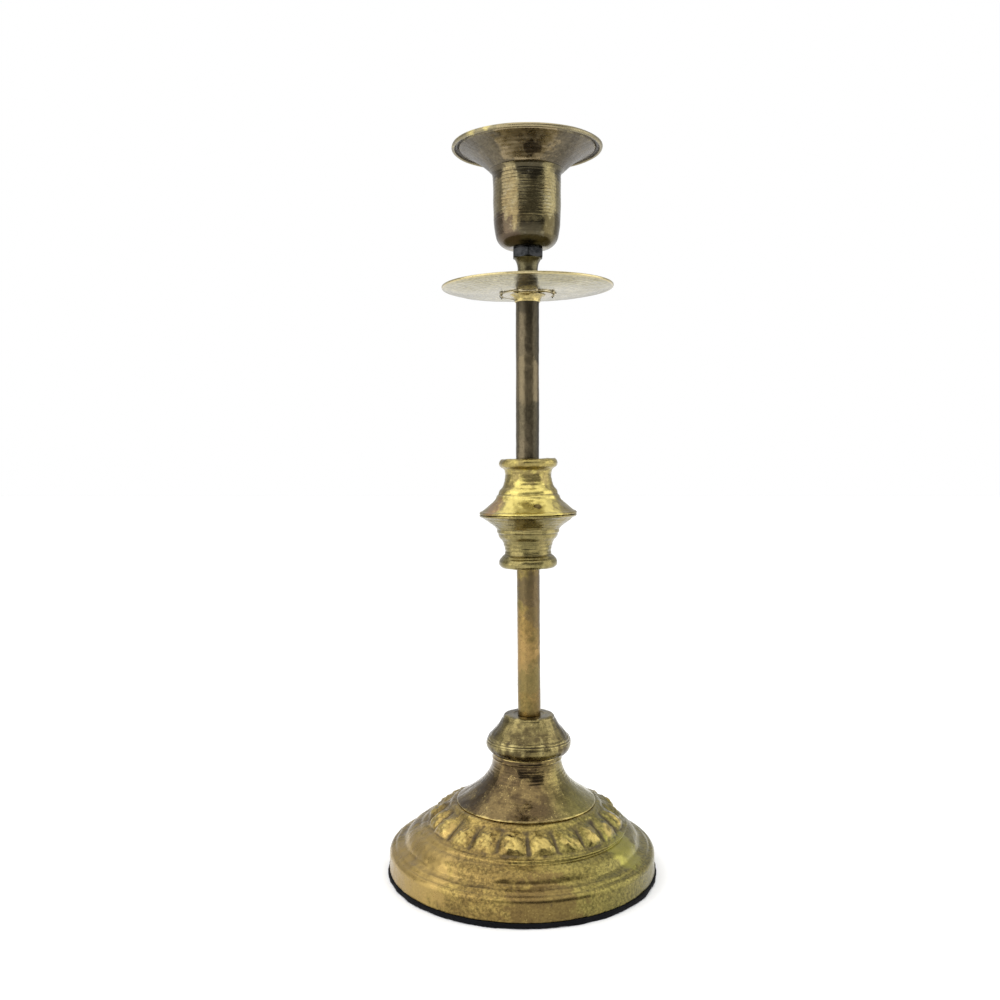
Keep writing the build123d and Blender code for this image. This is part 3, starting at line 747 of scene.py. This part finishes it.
# ---------------------------------------------------------------- candle cup
def cup_body():
    outline = [(3.2, 0), (6.0, 0)]
    outline += arc((6.0, 0), (9.2, 1.4), (10.75, 4.3), 24)
    outline += arc((10.75, 4.3), (11.25, 7.3), (11.5, 10.7), 10)
    outline += [(11.58, 14.7), (11.65, 24.0)]
    outline += curve([(11.65, 24.0), (11.8, 25.0), (12.2, 25.8), (12.8, 26.4)], 6)
    outline += [(12.2, 26.4), (11.3, 25.6), (11.0, 24.4), (11.0, 8.6)]
    outline += arc((11.0, 8.6), (9.0, 2.8), (5.0, 0.6), 24)
    outline += [(3.2, 0.6)]

    def ringed(th, r, z, x, y):
        outside = r > 11.2
        rings = np.abs(np.sin(math.pi * (z - 8.0) / 1.15)) ** 0.7 - 0.7
        rings = 0.09 * rings * band(z, 8.7, 24.4, 1.0) * (1 + 0.5 * lumps(x, y, 0.3 * z, 9.0, 101))
        dents = 0.04 * lumps(x, y, z, 9.0, 102) + 0.015 * lumps(x, y, z, 3.0, 103)
        return outside * (rings - 0.03 + dents)

    piece = lathe("cup_ringed", "cup_body", CUP, outline, 300, ringed, 0.16, rounding=1, lean=(-0.2, -0.35),
                  plain=(25.0, 30))
    z0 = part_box("cup_body")[0].z
    middle = (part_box("cup_body")[0].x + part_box("cup_body")[1].x) / 2
    dress(piece, brass(
        "brass_cup", (0.20, 0.15, 0.07), (0.235, 0.19, 0.10), (0.50, 0.46, 0.38), (0.03, 0.022, 0.014),
        wear=0.6, dirt=0.7, speckle=0.3, lines=0.35, rough=(0.15, 0.3), cloud_mm=10.0, seed=5.5,
        side=((0.20, 0.175, 0.075), 0.6, -0.01, 0.012),
        # Painted shade: the first three patches darken the cup's rounded underside above the nut.
        patches=[((middle, -0.008, z0), 9, (0.045, 0.038, 0.025), 0.8),
                 ((middle - 0.009, -0.006, z0 + 0.003), 8, (0.075, 0.052, 0.034), 0.85),
                 ((middle + 0.010, -0.005, z0 + 0.004), 8, (0.07, 0.055, 0.022), 0.85),
                 # Painted shadow: the last three patches darken the crease under the dish.
                 ((middle - 0.011, -0.005, z0 + 0.0262), 5, (0.07, 0.056, 0.034), 0.9),
                 ((middle, -0.012, z0 + 0.0262), 6, (0.05, 0.042, 0.024), 0.9),
                 ((middle + 0.011, -0.005, z0 + 0.0262), 5, (0.06, 0.05, 0.026), 0.9)]))


def cup_dish():
    top = 8.4
    outline = [(12.2, 0), (12.8, 0)]
    outline += curve([(12.8, 0), (14.4, 1.6), (17.8, 4.2), (20.8, 6.05), (23.2, 7.2)], 10)
    outline += [(23.4, 7.6), (23.65, 7.95), (24.25, 8.0), (24.55, 7.6), (24.7, 7.0), (25.05, 6.75)]
    outline += arc((25.05, 6.75), (25.8, 7.6), (25.2, top), 10)
    outline += [(23.7, top)]
    outline += curve([(23.7, top), (20.9, 7.1), (17.5, 4.9), (14.3, 2.5), (12.2, 0.6)], 10)

    def spun(th, r, z, x, y):
        shown = band(r, 13.0, 24.4, 0.8)
        rings = 0.012 * np.sin(2 * math.pi * r / 1.25)
        dents = 0.08 * lumps(x, y, z, 12.0, 111) + 0.02 * lumps(x, y, z, 3.0, 112)
        edge = 0.05 * lumps(x, y, z, 14.0, 113) * band(r, 24.8, 27, 0.5)
        return shown * (rings + dents) + edge - 0.04 * band(r, 25.0, 27, 0.5)

    piece = lathe("cup_dish_spun", "cup_dish", CUP, outline, 380, spun, 0.26, lean=(-0.35, -0.35),
                  plain=(-1, 1.2))
    foot_z, top_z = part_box("cup_dish")[0].z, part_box("cup_dish")[1].z
    rubbed_r, gold = 0.0248, (0.60, 0.50, 0.18)
    gold_rim = [((-rubbed_r * math.cos(a), -rubbed_r * math.sin(a), top_z + 0.0025), 4, gold, 0.9)
                for a in (0.15, 0.45, 0.75, 1.05)]
    dress(piece, brass(
        "dish_finish", body=(0.080, 0.066, 0.043), cloud=(0.125, 0.103, 0.066),
        rub=(0.36, 0.31, 0.17), dark=(0.022, 0.018, 0.013),
        wear=0.5, dirt=0.8, speckle=0.4, lines=0.4, rough=(0.26, 0.42), cloud_mm=12.0, seed=8.8,
        patches=gold_rim + [((0.001, -0.019, foot_z + 0.004), 11, (0.34, 0.265, 0.15), 0.7),
                            # Painted shade: the small dark spot where the front of the underside bends.
                            ((0.003, -0.017, foot_z + 0.002), 3.5, (0.06, 0.043, 0.027), 0.85)]))


# ---------------------------------------------------------------- inside pieces
def inside_pieces():
    """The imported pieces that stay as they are: rod, washers, nut, spacer, plate and bush."""
    zinc = steel("zinc_finish", (0.55, 0.55, 0.53), (0.30, 0.30, 0.29), seed=1.0)
    sheet = steel("sheet_finish", (0.40, 0.38, 0.36), (0.20, 0.18, 0.16), (0.45, 0.65), seed=2.0)
    boss = brass("bush_finish", (0.22, 0.18, 0.09), (0.30, 0.25, 0.13), (0.5, 0.44, 0.25),
                 (0.03, 0.025, 0.015), seed=3.0)
    finishes = {"tie_rod": zinc, "clamp_washer": zinc, "spring_washer": zinc, "base_nut": zinc,
                "knop_spacer": zinc, "base_plate": sheet, "cup_bush": boss}
    for node, finish in finishes.items():
        dress(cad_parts[node], finish)


# ---------------------------------------------------------------- stage
def floor():
    size = 12 * HEIGHT
    mesh = bpy.data.meshes.new("floor")
    corners = [(-size, -size, 0), (size, -size, 0), (size, size, 0), (-size, size, 0)]
    mesh.from_pydata(corners, [], [(0, 1, 2, 3)])
    piece = bpy.data.objects.new("floor", mesh)
    bpy.context.scene.collection.objects.link(piece)
    n = Nodes("floor")
    tone = n.mix(n.ramp(n.noise(60.0, 2.0), 0.3, 0.7), (0.90, 0.90, 0.90), (0.93, 0.93, 0.93))
    n.join(tone, n.shader.inputs["Base Color"])
    n.shader.inputs["Roughness"].default_value = 0.7
    n.shader.inputs["Specular IOR Level"].default_value = 0.2
    dress(piece, n.material)


def softbox(name, azimuth, elevation, distance, wide, tall, power):
    """A soft light round the object; azimuth 0 is on the camera's side, positive to its right."""
    a, e = math.radians(azimuth), math.radians(elevation)
    target = Vector((0, 0, 0.5 * HEIGHT))
    away = Vector((math.sin(a) * math.cos(e), -math.cos(a) * math.cos(e), math.sin(e)))
    data = bpy.data.lights.new(name, "AREA")
    data.shape, data.size, data.size_y, data.energy = "RECTANGLE", wide, tall, power
    lamp = bpy.data.objects.new(name, data)
    lamp.location = target + away * distance
    lamp.rotation_euler = away.to_track_quat("Z", "Y").to_euler()
    bpy.context.scene.collection.objects.link(lamp)


def lights():
    softbox("softbox_left", -62, 10, 0.9, 1.05, 0.9, 5.4)
    softbox("softbox_right", 84, 10, 0.9, 0.8, 0.9, 4.0)
    sun = bpy.data.lights.new("overhead", "SUN")
    sun.energy, sun.angle = 1.4, math.radians(95)
    lamp = bpy.data.objects.new("overhead", sun)
    lamp.rotation_euler = (math.radians(10), math.radians(-10), 0)
    bpy.context.scene.collection.objects.link(lamp)

    world = bpy.data.worlds.new("studio")
    bpy.context.scene.world = world
    world.use_nodes = True
    tree = world.node_tree
    link = tree.links.new
    back = tree.nodes["Background"]
    way = tree.nodes.new("ShaderNodeTexCoord")
    split = tree.nodes.new("ShaderNodeSeparateXYZ")
    link(way.outputs["Generated"], split.inputs[0])

    def fade(value, *limits):
        made = tree.nodes.new("ShaderNodeMapRange")
        made.interpolation_type = "SMOOTHSTEP"
        for socket, limit in zip(made.inputs[1:5], limits):
            socket.default_value = limit
        link(value, made.inputs[0])
        return made.outputs[0]

    def join(what, a, b):
        made = tree.nodes.new("ShaderNodeMath")
        made.operation = what
        link(a, made.inputs[0])
        link(b, made.inputs[1])
        return made.outputs[0]

    white_behind = fade(split.outputs[1], -0.2, 0.5, 0.17, 0.68)
    white_above = fade(split.outputs[2], 0.3, 0.75, 0.0, 1.0)
    path = tree.nodes.new("ShaderNodeLightPath")
    glow = join("MAXIMUM", white_behind, white_above)
    link(join("MAXIMUM", glow, path.outputs["Is Camera Ray"]), back.inputs["Strength"])
    back.inputs["Color"].default_value = (1.0, 1.0, 1.0, 1.0)


def camera():
    """A little above the object's middle, close, looking very slightly down."""
    data = bpy.data.cameras.new("camera")
    data.sensor_width = data.lens = 36
    data.clip_start = 0.01
    eye = bpy.data.objects.new("camera", data)
    place = Matrix.Translation(EYE * HEIGHT)
    eye.matrix_world = place @ Matrix.Rotation(math.radians(90 - EYE_DIP), 4, "X")
    bpy.context.scene.collection.objects.link(eye)
    bpy.context.scene.camera = eye


base_felt()
base_shell()
base_cone()
base_knob()
tube("lower_tube_drawn", "lower_tube", "brass_tube_low", low_tube_tones, 51, (0.75, 0.25))
tube("upper_tube_drawn", "upper_tube", "brass_tube_high", high_tube_tones, 53, (0.0, -0.1))
knop_half("knop_upper_spun", "knop_upper", False, 12.6, upper_knop_tones(), 61)
knop_half("knop_lower_spun", "knop_lower", True, 12.2, lower_knop_tones(), 64)
collar()
rosette()
pan()
neck()
nut()
cup_body()
cup_dish()
inside_pieces()
floor()
lights()
camera()
bpy.context.scene.view_settings.view_transform = "Standard"
